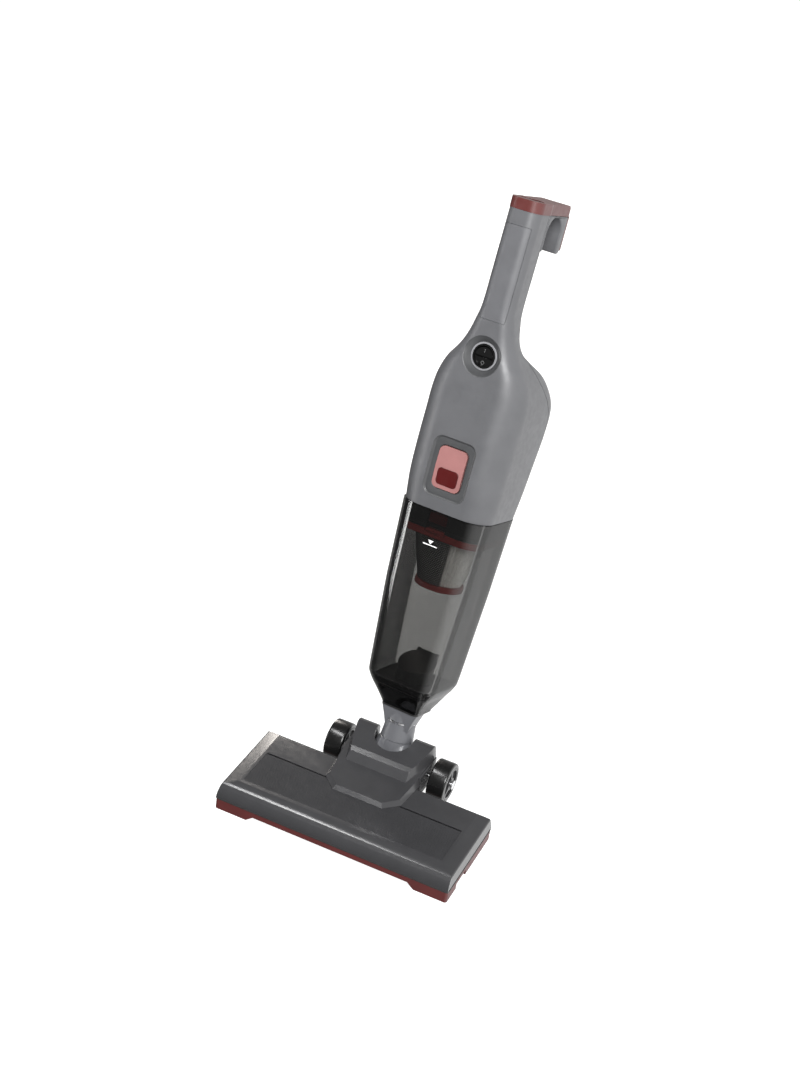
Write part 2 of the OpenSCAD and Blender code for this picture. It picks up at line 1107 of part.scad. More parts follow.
// Side outline of the cover, in rear and height, moved in by inset
module cover_side(inset) {
    front = head_d / 2 - 0.6 - inset;
    rear = head_d / 2 - 0.6 - inset;
    top = cover_h - inset;
    polygon(concat(
        [[-front, base_h - 1]],
        [for (i = [0:10])
            [-36 - (front - 36) * cos(9 * i), base_h + 1.3 + (top - base_h - 2.6) * sin(9 * i)]],
        [[-30, top], [rear - 8, top], [rear - 3.5, top - 2.2], [rear, base_h + 1.3],
            [rear, base_h - 1]]
    ));
}

module cover_block(inset) {
    intersection() {
        through(-80, 80)
            cover_ends(inset);
        across(head_w + 10)
            cover_side(inset);
    }
}

module head_cover() {
    color("dimgray")
        difference() {
            cover_block(0);
            cover_block(2.4);
            translate([-200, -200, -50])
                cube([400, 400, 50 + base_h + 1.3]);
            // Sunk field of the patterned panel
            translate([-111, -34.5, cover_h - 0.5])
                cube([222, 51.5, 5]);
            // Opening towards the hood
            translate([-40, 12, base_h])
                cube([80, 60, 14.9]);
            translate([-24, 8, 20])
                cube([48, 40, 20]);
        }
}

module head_base() {
    color("brown")
        difference() {
            linear_extrude(height = base_h)
                rounded_rect(head_w - 0.8, head_d - 0.8, 3);
            // Raised front edge between the corner feet
            through(-70, -head_d / 2 + 7)
                polygon([
                    [-95, -1], [-86, 6.7], [86, 6.7], [95, -1]
                ]);
            // Suction channel across the width
            translate([-head_w, -32, -1])
                cube([2 * head_w, 24, 7.5]);
            // Intake
            translate([0, -20, -1])
                linear_extrude(height = 20)
                    rounded_rect(48, 21, 5);
            // Hollow inside, before and behind the channel
            translate([-head_w / 2 + 3, -head_d / 2 + 9.5, 3])
                cube([head_w - 6, 12.5, 20]);
            translate([-head_w / 2 + 3, -5.5, 3])
                cube([head_w - 6, head_d / 2 + 2, 20]);
            translate([-head_w / 2 + 3, -35, 9])
                cube([head_w - 6, 32, 20]);
            // Seats of the brush strips and the felt pads
            translate([-95.2, -42.2, -1])
                cube([190.4, 4.4, 3]);
            for (x = [-95, 95])
                translate([x - 20.2, 33.8, -1])
                    cube([40.4, 10.4, 2.2]);
            for (p = screw_points)
                translate([p[0], p[1], -1])
                    cylinder(r = 2.1, h = 10);
        }
}

screw_points = [[-110, 48], [-60, 48], [60, 48], [110, 48]];

module head_gasket() {
    color("black")
        difference() {
            translate([0, 0, base_h + 0.05])
                linear_extrude(height = 1.2)
                    rounded_rect(head_w, head_d, 3.4);
            translate([0, 0, base_h - 1])
                linear_extrude(height = 4)
                    rounded_rect(head_w - 7, head_d - 7, 2);
        }
}

// Side outline of the hood, in rear and height
module hood_side() {
    polygon([
        [2, cover_h + 0.1], [5.5, cover_h + 5], [44, 38], [52, 45], [57, 48], [66, 50],
        [86, 55.6], [91, 56], [96, 54], [98, 50], [98, 14.2], [57.5, 14.2], [57.5, cover_h + 0.1]
    ]);
}

module hood_plan_low() {
    polygon([
        [-hood_w / 2 + 3, 0], [hood_w / 2 - 3, 0], [hood_w / 2, 50], [hood_w / 2, 100],
        [-hood_w / 2, 100], [-hood_w / 2, 50]
    ]);
}

// End outline of the hood at the pivot: upright sides with rounded shoulders
module hood_ends() {
    half = hood_w / 2;
    polygon([
        [-half, 0], [-half, 38], [-half + 1.2, 46], [-half + 4, 53], [-half + 8, 57],
        [half - 8, 57], [half - 4, 53], [half - 1.2, 46], [half, 38], [half, 0]
    ]);
}

module hood() {
    color("dimgray")
        difference() {
            intersection() {
                across(2 * hood_w)
                    hood_side();
                linear_extrude(height = 80)
                    hood_plan_low();
                through(-10, 110)
                    hood_ends();
            }
            // Inside of the front part
            translate([-41, 8, cover_h - 1])
                cube([82, 40, 5]);
            translate([-41, 59.5, 10])
                cube([82, 5, 36]);
            // Hollow of each arm
            for (x = [-43.5, 30])
                translate([x, 60, 10])
                    cube([13.5, 18, 36]);
            // Notch for the neck
            linear_extrude(height = 80)
                union() {
                    translate([0, axle_y - 3])
                        circle(notch_half);
                    translate([-notch_half, axle_y - 3])
                        square([2 * notch_half, 40]);
                }
            translate([-22.3, 45, 10])
                cube([44.6, 30, 17.4]);
            translate([-notch_half, 70, 10])
                cube([2 * notch_half, 60, 35]);
            // Bores of the elbow's trunnions and of the axles
            translate([0, axle_y, pivot_z])
                x_rod(trunnion_r + run_fit, -28, 28);
            translate([0, wheel_y, wheel_z])
                x_rod(axle_r, -60, 60);
        }
}

module hood_floor() {
    color("black")
        translate([-hood_w / 2 + 0.5, head_d / 2 + 0.8, 11.5])
            cube([hood_w - 1, 98 - head_d / 2 - 1.4, 2.6]);
}

module suction_duct() {
    color("black")
        difference() {
            union() {
                translate([-26, -32.5, 9.1])
                    cube([52, 25, 18]);
                translate([-22, -20, 15])
                    cube([44, 95, 12.1]);
            }
            translate([-24, -30.5, 5])
                cube([48, 21, 20.2]);
            translate([-20, -22, 16.8])
                cube([40, 120, 8.4]);
            translate([0, axle_y, pivot_z])
                x_rod(19.7, -40, 40);
            translate([-30, 57.4, 28])
                cube([60, 40, 10]);
        }
}

module brush_strips() {
    color("black")
        translate([-95, -42, 0.2])
            cube([190, 4, 1.7]);
}

module felt_pads() {
    color("gray")
        for (x = [-95, 95])
            translate([x - 20, 34, 0])
                cube([40, 10, 1.1]);
}

module base_screws() {
    color("silver")
        for (p = screw_points)
            translate([p[0], p[1], 0])
                union() {
                    translate([0, 0, 1])
                        cylinder(r = 1.6, h = 9);
                    translate([0, 0, 3.1])
                        cylinder(r = 3.2, h = 2);
                }
}

module wheel_axles() {
    color("silver")
        translate([0, wheel_y, wheel_z])
            for (side = [-1, 1])
                union() {
                    x_rod(axle_r, side > 0 ? 30 : -72, side > 0 ? 72 : -30);
                    x_rod(5, side > 0 ? 71 : -72.4, side > 0 ? 72.4 : -71);
                }
}

module tyre(side) {
    translate([side * (wheel_x + wheel_w / 2), wheel_y, wheel_z])
        rotate([0, 90, 0])
            rotate_extrude()
                polygon([
                    [17.6, -wheel_w / 2], [wheel_d / 2 - 2, -wheel_w / 2],
                    [wheel_d / 2, -wheel_w / 2 + 2], [wheel_d / 2, wheel_w / 2 - 2],
                    [wheel_d / 2 - 2, wheel_w / 2], [17.6, wheel_w / 2]
                ]);
}

module hub(side) {
    translate([side * (wheel_x + wheel_w / 2), wheel_y, wheel_z])
        difference() {
            x_rod(17.5, -wheel_w / 2, wheel_w / 2);
            x_rod(axle_r + run_fit, -40, 40);
            for (side_x = [-1, 1])
                difference() {
                    x_rod(15.2, side_x > 0 ? 1 : -20, side_x > 0 ? 20 : -1);
                    x_rod(7, -30, 30);
                    for (k = [0:2])
                        rotate([120 * k, 0, 0])
                            translate([-20, -1.5, 0])
                                cube([40, 3, 20]);
                }
        }
}

module wheel_tyre_left() {
    color("black")
        tyre(-1);
}

module wheel_tyre_right() {
    color("black")
        tyre(1);
}

module wheel_hub_left() {
    color("gray")
        hub(-1);
}

module wheel_hub_right() {
    color("gray")
        hub(1);
}

front_shell();
rear_shell();
grip_inlay();
top_cap();
switch_bezel();
switch_body();
switch_rocker();
release_button();
button_pad();
latch_tongue();
button_pin();
button_spring();
bulkhead();
cup_seal();
fan_shroud();
motor_can();
field_coils();
motor_bracket_lower();
motor_bracket_upper();
motor_bearings();
carbon_brushes();
motor_mounts();
vent_grille();
exhaust_foam();
housing_screws();
cord_gland();
motor_shaft();
armature();
commutator();
fan_impeller();
fan_nut();
filter_flange();
pleated_filter();
mesh_screen();
filter_cap();
dust_cup();
socket_liner();
inlet_duct();
flap_pin();
level_mark();
inlet_flap();
neck_adapter();
neck_seal();
elbow_barrel();
swivel_ring();
head_cover();
head_base();
head_gasket();
hood();
hood_floor();
suction_duct();
brush_strips();
felt_pads();
base_screws();
wheel_axles();
wheel_tyre_left();
wheel_tyre_right();
wheel_hub_left();
wheel_hub_right();
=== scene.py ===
"""Stick vacuum cleaner: the looks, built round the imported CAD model.

Pieces of the stick are drawn in the stick's own frame, in millimetres: x across, y to the rear
and z along the stick from the tilt pivot. STICK puts them in place. Pieces of the floor head are
drawn in the model's frame, also in millimetres, and HEAD puts them in place.
"""
import json
import math
import random

import bmesh
import bpy
from mathutils import Matrix, Vector

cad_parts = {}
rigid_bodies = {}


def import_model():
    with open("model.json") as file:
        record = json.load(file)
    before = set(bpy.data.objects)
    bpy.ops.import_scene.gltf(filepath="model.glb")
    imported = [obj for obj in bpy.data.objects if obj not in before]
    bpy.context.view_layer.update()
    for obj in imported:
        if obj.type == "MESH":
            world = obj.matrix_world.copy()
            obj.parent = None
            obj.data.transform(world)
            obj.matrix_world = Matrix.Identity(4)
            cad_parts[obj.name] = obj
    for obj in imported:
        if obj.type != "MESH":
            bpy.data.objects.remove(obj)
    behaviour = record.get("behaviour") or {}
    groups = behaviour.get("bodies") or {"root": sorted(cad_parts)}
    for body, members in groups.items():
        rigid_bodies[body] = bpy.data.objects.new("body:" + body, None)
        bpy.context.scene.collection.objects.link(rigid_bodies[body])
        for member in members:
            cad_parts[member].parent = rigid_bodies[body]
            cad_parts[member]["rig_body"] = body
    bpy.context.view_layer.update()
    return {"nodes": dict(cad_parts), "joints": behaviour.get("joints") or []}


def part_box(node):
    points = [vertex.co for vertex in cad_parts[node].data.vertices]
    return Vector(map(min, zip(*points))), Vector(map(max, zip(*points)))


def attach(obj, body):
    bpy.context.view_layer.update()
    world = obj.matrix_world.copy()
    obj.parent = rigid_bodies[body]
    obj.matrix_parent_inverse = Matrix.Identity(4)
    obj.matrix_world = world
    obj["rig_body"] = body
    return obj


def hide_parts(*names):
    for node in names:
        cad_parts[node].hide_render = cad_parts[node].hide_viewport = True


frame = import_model()

MM = 0.001
random.seed(7)

joints = {j["name"]: j for j in frame["joints"]}
pivot = Vector(joints["neck_tilt"]["pos_m"])
along = Vector(joints["neck_swivel"]["axis"])
across = Vector(joints["cup_release"]["axis"])
rearward = along.cross(across)
HEAD = Matrix.Scale(MM, 4)
STICK = Matrix.Translation(pivot) @ Matrix((across, rearward, along)).transposed().to_4x4() @ HEAD


# ---- Camera and lights ----

CAMERA_TARGET = Vector((-0.0479, 0.1416, 0.2600))
CAMERA_AZIMUTH = 20.2
CAMERA_ELEVATION = 31.94
CAMERA_ROLL = 8.55
CAMERA_DISTANCE = 1.9
CAMERA_LENS = 63.15


def direction(azimuth, elevation):
    """From the object, with the azimuth in degrees to the right of the front."""
    a, e = math.radians(azimuth), math.radians(elevation)
    return Vector((math.sin(a) * math.cos(e), -math.cos(a) * math.cos(e), math.sin(e)))


def make_camera():
    back = direction(CAMERA_AZIMUTH, CAMERA_ELEVATION)
    right = Vector((0, 0, 1)).cross(back).normalized()
    up = back.cross(right)
    turn = Matrix.Rotation(math.radians(-CAMERA_ROLL), 3, -back)
    axes = Matrix((turn @ right, turn @ up, back)).transposed()
    data = bpy.data.cameras.new("camera")
    data.lens = CAMERA_LENS
    data.sensor_width = 36
    camera = bpy.data.objects.new("camera", data)
    place = CAMERA_TARGET + CAMERA_DISTANCE * back
    camera.matrix_world = Matrix.Translation(place) @ axes.to_4x4()
    bpy.context.scene.collection.objects.link(camera)
    bpy.context.scene.camera = camera


def softbox(name, azimuth, elevation, distance, width, height, power, target, tint=(1, 1, 1)):
    """A rectangular lamp that faces the target."""
    data = bpy.data.lights.new(name, "AREA")
    data.shape = "RECTANGLE"
    data.size = width
    data.size_y = height
    data.energy = power
    data.color = tint
    lamp = bpy.data.objects.new(name, data)
    back = direction(azimuth, elevation)
    lamp.matrix_world = (Matrix.Translation(target + distance * back)
                         @ back.to_track_quat("Z", "Y").to_matrix().to_4x4())
    lamp.visible_camera = False
    bpy.context.scene.collection.objects.link(lamp)


def make_world(dark_side, dark, light):
    """A room that fades from light to dark towards one side, as with a black flag hung there."""
    world = bpy.data.worlds.new("studio")
    bpy.context.scene.world = world
    world.use_nodes = True
    tree = world.node_tree
    place = tree.nodes.new("ShaderNodeTexCoord")
    dot = tree.nodes.new("ShaderNodeVectorMath")
    dot.operation = "DOT_PRODUCT"
    dot.inputs[1].default_value = dark_side
    level = tree.nodes.new("ShaderNodeMapRange")
    level.interpolation_type = "SMOOTHSTEP"
    for key, value in (("From Min", -0.7), ("From Max", 0.3), ("To Min", light),
                       ("To Max", dark)):
        level.inputs[key].default_value = value
    tree.links.new(place.outputs["Generated"], dot.inputs[0])
    tree.links.new(dot.outputs["Value"], level.inputs["Value"])
    tree.links.new(level.outputs["Result"], tree.nodes["Background"].inputs["Strength"])
    tree.nodes["Background"].inputs["Color"].default_value = (1, 1, 1, 1)


# ---- Materials ----

class Shader:
    """A material and the few node patterns that all the finishes here are made of."""

    def __init__(self, name, colour, roughness, metallic=0.0, ior=1.5):
        self.material = bpy.data.materials.new(name)
        self.material.use_nodes = True
        self.tree = self.material.node_tree
        self.main = self.tree.nodes["Principled BSDF"]
        self.main.inputs["Base Color"].default_value = (*colour, 1)
        self.main.inputs["Roughness"].default_value = roughness
        self.main.inputs["Metallic"].default_value = metallic
        self.main.inputs["IOR"].default_value = ior
        self.colour = colour
        self.roughness = roughness
        self.place = self.tree.nodes.new("ShaderNodeTexCoord").outputs["Object"]

    def node(self, kind, **inputs):
        made = self.tree.nodes.new(kind)
        for key, value in inputs.items():
            socket = made.inputs[key.replace("_", " ")]
            if isinstance(value, bpy.types.NodeSocket):
                self.tree.links.new(value, socket)
            else:
                socket.default_value = value
        return made

    def stretched(self, x, y, z):
        """The object's coordinates, scaled along each axis."""
        made = self.node("ShaderNodeMapping", Vector=self.place)
        made.inputs["Scale"].default_value = (x, y, z)
        return made.outputs["Vector"]

    def noise(self, scale, detail=2.0, place=None):
        made = self.node("ShaderNodeTexNoise", Vector=place or self.place, Scale=scale,
                         Detail=detail)
        return made.outputs["Fac"]

    def spread(self, value, low, high):
        """The middle of a noise, from 0.35 to 0.65, spread between two values."""
        made = self.node("ShaderNodeMapRange", Value=value)
        made.inputs["From Min"].default_value = 0.35
        made.inputs["From Max"].default_value = 0.65
        made.inputs["To Min"].default_value = low
        made.inputs["To Max"].default_value = high
        return made.outputs["Result"]

    def mottle(self, value, amount):
        """The base colour, from a little darker to a little lighter as value goes."""
        mix = self.node("ShaderNodeMix", Factor=value)
        mix.data_type = "RGBA"
        colour_in = [s for s in mix.inputs if s.type == "RGBA"]
        colour_in[0].default_value = (*[c * (1 - amount) for c in self.colour], 1)
        colour_in[1].default_value = (*[min(1, c * (1 + amount)) for c in self.colour], 1)
        out = [s for s in mix.outputs if s.type == "RGBA"][0]
        self.tree.links.new(out, self.main.inputs["Base Color"])

    def rough(self, value, amount):
        self.tree.links.new(self.spread(value, self.roughness - amount, self.roughness + amount),
                            self.main.inputs["Roughness"])

    def bump(self, value, strength, depth):
        made = self.node("ShaderNodeBump", Height=value, Strength=strength, Distance=depth)
        self.tree.links.new(made.outputs["Normal"], self.main.inputs["Normal"])
        return made


def plastic(name, colour, roughness=0.4, grain=0.35, bump=0.25, mottle=0.05, coat=0.0):
    """Moulded plastic: spark-eroded grain of the given size in mm, faint flow marks."""
    s = Shader(name, colour, roughness)
    s.mottle(s.spread(s.noise(45, 4), 0, 1), mottle)
    s.rough(s.noise(160, 3), 0.1 * roughness)
    s.bump(s.noise(1 / (grain * MM), 2), bump, 0.00006 * roughness)
    s.main.inputs["Coat Weight"].default_value = coat
    s.main.inputs["Coat Roughness"].default_value = 0.12
    return s.material


def metal(name, colour, roughness=0.3, brushed=(1, 1, 12)):
    s = Shader(name, colour, roughness, metallic=1.0)
    lines = s.noise(900, 3, s.stretched(*brushed))
    s.mottle(s.spread(lines, 0, 1), 0.12)
    s.rough(lines, 0.08)
    s.bump(lines, 0.2, 0.00003)
    return s.material


def rubber(name, colour):
    s = Shader(name, colour, 0.7)
    s.mottle(s.spread(s.noise(80, 5), 0, 1), 0.15)
    s.rough(s.noise(300, 2), 0.06)
    s.bump(s.noise(1500, 4), 0.35, 0.00008)
    return s.material


def fibre(name, colour, size, depth, roughness=0.9):
    """Paper, felt or foam: fibres or cells of the given size in mm."""
    s = Shader(name, colour, roughness)
    cells = s.node("ShaderNodeTexVoronoi", Vector=s.stretched(1, 1.3, 0.8), Scale=1 / (size * MM))
    s.mottle(s.spread(s.noise(400, 6), 0, 1), 0.12)
    s.bump(cells.outputs["Distance"], 0.5, depth)
    s.main.inputs["Sheen Weight"].default_value = 0.15
    return s.material


def winding(name, colour):
    """Enamelled copper wire, turn beside turn."""
    s = Shader(name, colour, 0.28, metallic=0.9)
    turns = s.node("ShaderNodeTexWave", Vector=s.place, Scale=320.0)
    turns.bands_direction = "Z"
    s.mottle(s.spread(s.noise(250, 3), 0, 1), 0.18)
    s.bump(turns.outputs["Fac"], 0.6, 0.0002)
    return s.material


CUP_SURFACE_TINT = (0.63, 0.63, 0.625, 1)
# How much of each surface is mirror, seen square on and seen edge on
CUP_MIRROR = (0.10, 0.85)


def smoked_clear(name):
    """Smoked clear plastic. Each surface lets part of the light through, and mirrors the rest."""
    s = Shader(name, (0.02, 0.02, 0.02), 0.05, ior=4.0)
    s.mottle(s.spread(s.noise(30, 3), 0, 1), 0.2)
    s.rough(s.noise(120, 3), 0.02)
    edge = s.node("ShaderNodeFresnel", IOR=1.45).outputs["Fac"]
    cover = s.node("ShaderNodeMapRange", Value=edge)
    cover.inputs["From Min"].default_value = 0.03
    cover.inputs["From Max"].default_value = 1.0
    cover.inputs["To Min"].default_value = CUP_MIRROR[0]
    cover.inputs["To Max"].default_value = CUP_MIRROR[1]
    clear = s.node("ShaderNodeBsdfTransparent", Color=CUP_SURFACE_TINT)
    mix = s.node("ShaderNodeMixShader", Fac=cover.outputs["Result"])
    s.tree.links.new(clear.outputs["BSDF"], mix.inputs[1])
    s.tree.links.new(s.main.outputs["BSDF"], mix.inputs[2])
    output = s.tree.nodes["Material Output"]
    s.tree.links.new(mix.outputs["Shader"], output.inputs["Surface"])
    return s.material


M = {
    "housing": plastic("housing", (0.084, 0.085, 0.090), 0.42),
    "inlay": plastic("inlay", (0.088, 0.089, 0.095), 0.46),
    # A darker copy of the housing plastic: painted shade for the sunk button field and the switch
    # dish.
    "recess_painted_shade": plastic("recess_painted_shade", (0.048, 0.049, 0.051), 0.42),
    "cap_red": plastic("cap_red", (0.085, 0.020, 0.018), 0.36, mottle=0.08),
    "bezel": plastic("bezel", (0.20, 0.20, 0.21), 0.3, bump=0.1),
    "switch_black": plastic("switch_black", (0.006, 0.006, 0.006), 0.14, bump=0.06),
    "button_pink": plastic("button_pink", (0.27, 0.125, 0.120), 0.2, bump=0.05, coat=0.3),
    "pad_red": plastic("pad_red", (0.060, 0.003, 0.003), 0.35, grain=0.5),
    "black_plastic": plastic("black_plastic", (0.012, 0.012, 0.012), 0.42, bump=0.3),
    "filter_red": plastic("filter_red", (0.26, 0.035, 0.032), 0.38),
    "mark_white": plastic("mark_white", (0.75, 0.75, 0.75), 0.5, bump=0.05),
    "neck_grey": plastic("neck_grey", (0.100, 0.102, 0.110), 0.38),
    "head_grey": plastic("head_grey", (0.036, 0.036, 0.038), 0.19, grain=0.6, bump=0.04),
    "panel_grey": plastic("panel_grey", (0.034, 0.034, 0.036), 0.2, grain=0.6, bump=0.04),
    "base_red": plastic("base_red", (0.080, 0.011, 0.010), 0.5, grain=0.5, mottle=0.08),
    "mark_grey": plastic("mark_grey", (0.12, 0.12, 0.12), 0.5, bump=0.05),
    # A dark copy of the cap's red: painted shade for the deep lens-shaped socket in the cap.
    "socket_painted_shade": plastic("socket_painted_shade", (0.030, 0.006, 0.006), 0.5),
    "tyre_black": plastic("tyre_black", (0.006, 0.006, 0.006), 0.24, bump=0.1),
    "hub_grey": plastic("hub_grey", (0.022, 0.022, 0.023), 0.35),
    "seal_rubber": rubber("seal_rubber", (0.012, 0.012, 0.012)),
    "steel": metal("steel", (0.62, 0.62, 0.63)),
    "motor_metal": metal("motor_metal", (0.5, 0.5, 0.49), 0.38),
    "aluminium": metal("aluminium", (0.78, 0.78, 0.79), 0.25, (12, 1, 1)),
    "laminations": metal("laminations", (0.25, 0.24, 0.23), 0.5, (1, 1, 60)),
    "brush_holder": metal("brush_holder", (0.65, 0.48, 0.22), 0.35),
    "mesh": plastic("mesh", (0.05, 0.05, 0.05), 0.35, bump=0.05),
    "copper": winding("copper", (0.72, 0.33, 0.16)),
    "filter_paper": fibre("filter_paper", (0.84, 0.83, 0.80), 0.5, 0.00008),
    "foam": fibre("foam", (0.035, 0.035, 0.036), 1.2, 0.0008),
    "felt": fibre("felt", (0.09, 0.09, 0.09), 0.4, 0.0003),
    "bristle": fibre("bristle", (0.02, 0.02, 0.02), 0.3, 0.0001, 0.6),
    "clear_cup": smoked_clear("clear_cup"),
}
M["housing_rear"] = M["housing"]


# ---- Mesh helpers ----

def object_from(name, points, faces, material, place):
    """A mesh piece from points in millimetres, put in place by a matrix."""
    mesh = bpy.data.meshes.new(name)
    mesh.from_pydata([place @ Vector(p) for p in points], [], faces)
    mesh.materials.append(M[material])
    mesh.validate()
    made = bpy.data.objects.new(name, mesh)
    bpy.context.scene.collection.objects.link(made)
    return made


def finish_mesh(piece, angle=35):
    """Outward faces, shaded smooth except across edges sharper than the angle."""
    work = bmesh.new()
    work.from_mesh(piece.data)
    bmesh.ops.remove_doubles(work, verts=work.verts, dist=1e-6)
    bmesh.ops.recalc_face_normals(work, faces=work.faces)
    work.to_mesh(piece.data)
    work.free()
    piece.data.shade_smooth()
    piece.data.set_sharp_from_angle(angle=math.radians(angle))
    return piece


def place_piece(piece, body, slot, *nodes):
    """The piece rides on a body and stands for CAD nodes, which it hides. The slot argument is
    not used.
    """
    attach(piece, body)
    if nodes:
        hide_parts(*nodes)
    return piece


def applied(piece):
    """Turns the piece's modifiers into mesh."""
    bpy.context.view_layer.update()
    evaluated = piece.evaluated_get(bpy.context.evaluated_depsgraph_get())
    mesh = bpy.data.meshes.new_from_object(evaluated)
    piece.modifiers.clear()
    piece.data = mesh
    return piece


def combine(piece, tool, operation):
    """A Boolean of the piece with a tool, which is used up."""
    modifier = piece.modifiers.new(operation, "BOOLEAN")
    modifier.operation = operation
    modifier.solver = "EXACT"
    modifier.object = tool
    applied(piece)
    bpy.data.objects.remove(tool)
    return piece


def bevelled(piece, width, segments=3, angle=30):
    """Rounds every edge sharper than the angle. The width is in millimetres, and may be 0."""
    work = bmesh.new()
    work.from_mesh(piece.data)
    bmesh.ops.remove_doubles(work, verts=work.verts, dist=2e-6)
    bmesh.ops.dissolve_limit(work, angle_limit=math.radians(0.6), verts=work.verts,
                             edges=work.edges)
    sharp = [e for e in work.edges
             if len(e.link_faces) == 2 and e.calc_face_angle(0) > math.radians(angle)]
    if width:
        bmesh.ops.bevel(work, geom=sharp, offset=width * MM, segments=segments, profile=0.5,
                        affect="EDGES", clamp_overlap=True)
    work.to_mesh(piece.data)
    work.free()
    finish_mesh(piece, 40)
    piece.modifiers.new("flat faces stay flat", "WEIGHTED_NORMAL").keep_sharp = True
    return applied(piece)


def from_cad(node, name, width):
    """A copy of a CAD node with rounded edges, which then stands for the node."""
    source = frame["nodes"][node]
    made = bpy.data.objects.new(name, source.data.copy())
    bpy.context.scene.collection.objects.link(made)
    slot = source.data.materials[0].name
    made.data.materials.clear()
    made.data.materials.append(M[slot])
    bevelled(made, width)
    return place_piece(made, source["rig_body"], slot, node)


def prism(name, outline, low, high, axis, material, place):
    """A solid from an outline. Along x it is drawn in y and z, along y in x and z, along z in
    x and y."""
    def point(a, b, t):
        return {"x": (t, a, b), "y": (a, t, b), "z": (a, b, t)}[axis]
    n = len(outline)
    points = [point(a, b, t) for t in (low, high) for a, b in outline]
    faces = [list(range(n)), list(range(n, 2 * n))]
    faces += [[i, (i + 1) % n, n + (i + 1) % n, n + i] for i in range(n)]
    return finish_mesh(object_from(name, points, faces, material, place))


def arc_points(cx, cy, r, start, n, sweep=90):
    return [(cx + r * math.cos(math.radians(start + sweep * i / n)),
             cy + r * math.sin(math.radians(start + sweep * i / n))) for i in range(n + 1)]


def rounded_outline(half_w, half_h, r, n=10, cx=0, cy=0):
    corners = [(half_w - r, half_h - r, 0), (r - half_w, half_h - r, 90),
               (r - half_w, r - half_h, 180), (half_w - r, r - half_h, 270)]
    return [p for x, y, start in corners for p in arc_points(cx + x, cy + y, r, start, n)]


def circle(r, n=96, cx=0, cy=0):
    return [(cx + r * math.cos(math.tau * i / n), cy + r * math.sin(math.tau * i / n))
            for i in range(n)]


def stacked(name, rings, material, place, loop=False):
    """Skin over rings that have the same number of points. It has a cap at both ends, or the last
    ring joins the first."""
    n = len(rings[0])
    k = len(rings)
    points = [p for ring in rings for p in ring]
    faces = []
    for j in range(k if loop else k - 1):
        low, high = j * n, ((j + 1) % k) * n
        faces += [[low + i, low + (i + 1) % n, high + (i + 1) % n, high + i] for i in range(n)]
    if not loop:
        faces += [list(range(n)), list(range((k - 1) * n, k * n))]
    return finish_mesh(object_from(name, points, faces, material, place))


def lathe(name, profile, axis_place, material, n=96):
    """A closed profile of (radius, height) turned about the z axis of axis_place."""
    rings = [[(r * math.cos(math.tau * i / n), r * math.sin(math.tau * i / n), h)
              for i in range(n)] for r, h in profile]
    return stacked(name, rings, material, axis_place, loop=True)


# ---- Sections of the housing and the cup ----

# Height, half width, front, rear, front and rear corner radii, as in the CAD model
BODY = [
    (271.4, 49, 48.5, 47.5, 27, 27),
    (300, 51, 51.5, 51, 28, 28),
    (330, 51.7, 51.3, 55.5, 28, 28),
    (363, 52, 50, 61, 28, 28),
    (388, 52, 48.5, 59, 27, 27),
    (405, 49.6, 48, 48, 26, 25),
    (421, 42.9, 47.3, 32, 22, 22),
    (433, 34.6, 46.6, 8, 19, 17),
    (441, 29.8, 46.5, -6, 17, 15),
    (452, 25, 46.6, -12, 15, 13),
    (466, 20.8, 47, -11.5, 13, 12),
    (482, 17.8, 47, -9.5, 12, 12),
    (520, 17.5, 46.2, -7.8, 12, 12),
    (577, 17.5, 44.5, -5.5, 12, 12),
]
CUP = [
    (50.2, 21.5, 16, 26, 5, 10),
    (54, 23, 18, 31, 5, 10),
    (66, 28.6, 28, 39, 9, 13),
    (75, 34.5, 35, 41.4, 13, 17),
    (84, 39.3, 40, 41, 16, 20),
    (95, 40.4, 40.6, 40.6, 17, 20),
    (187, 46.3, 46, 44.5, 21, 25),
    (271, 49.6, 49, 47, 24, 27),
]


def mixed(a, b, t):
    return tuple(x + (y - x) * t for x, y in zip(a, b))


def flowing(sections, steps):
    """Catmull-Rom sections between the named ones."""
    out = []
    last = len(sections) - 1
    for i in range(last):
        p, q, r, s = (sections[min(max(i + k, 0), last)] for k in (-1, 0, 1, 2))
        for j in range(steps):
            t = j / steps
            out.append(tuple(
                0.5 * (2 * q[c] + (r[c] - p[c]) * t
                       + (2 * p[c] - 5 * q[c] + 4 * r[c] - s[c]) * t * t
                       + (3 * q[c] - p[c] - 3 * r[c] + s[c]) * t ** 3)
                for c in range(6)))
    return out + [sections[last]]


def section_at(sections, height):
    for low, high in zip(sections, sections[1:]):
        if height <= high[0]:
            break
    return mixed(low, high, (height - low[0]) / (high[0] - low[0]))


def between(sections, low, high):
    inner = [s for s in sections if low + 0.01 < s[0] < high - 0.01]
    return [section_at(sections, low), *inner, section_at(sections, high)]


def section_ring(section, inset, n=14, height=None):
    s, a, f, b, rf, rb = section
    a, f, b = a - inset, f - inset, b - inset
    rf, rb = max(rf - inset, 0.5), max(rb - inset, 0.5)
    s = s if height is None else height
    outline = (arc_points(a - rb, b - rb, rb, 0, n) + arc_points(rb - a, b - rb, rb, 90, n)
               + arc_points(rf - a, rf - f, rf, 180, n) + arc_points(a - rf, rf - f, rf, 270, n))
    return [(x, y, s) for x, y in outline]


def lofted(name, sections, inset, material, n=14):
    return stacked(name, [section_ring(s, inset, n) for s in sections], material, STICK)


def lofted_shell(name, sections, wall, material, n=14):
    """Outer and inner skins joined at both ends."""
    outer = [section_ring(s, 0, n) for s in sections]
    inner = [section_ring(s, wall, n) for s in reversed(sections)]
    return stacked(name, outer + inner, material, STICK, loop=True)


HOUSING = flowing(BODY, 8)
WALL = 2.4


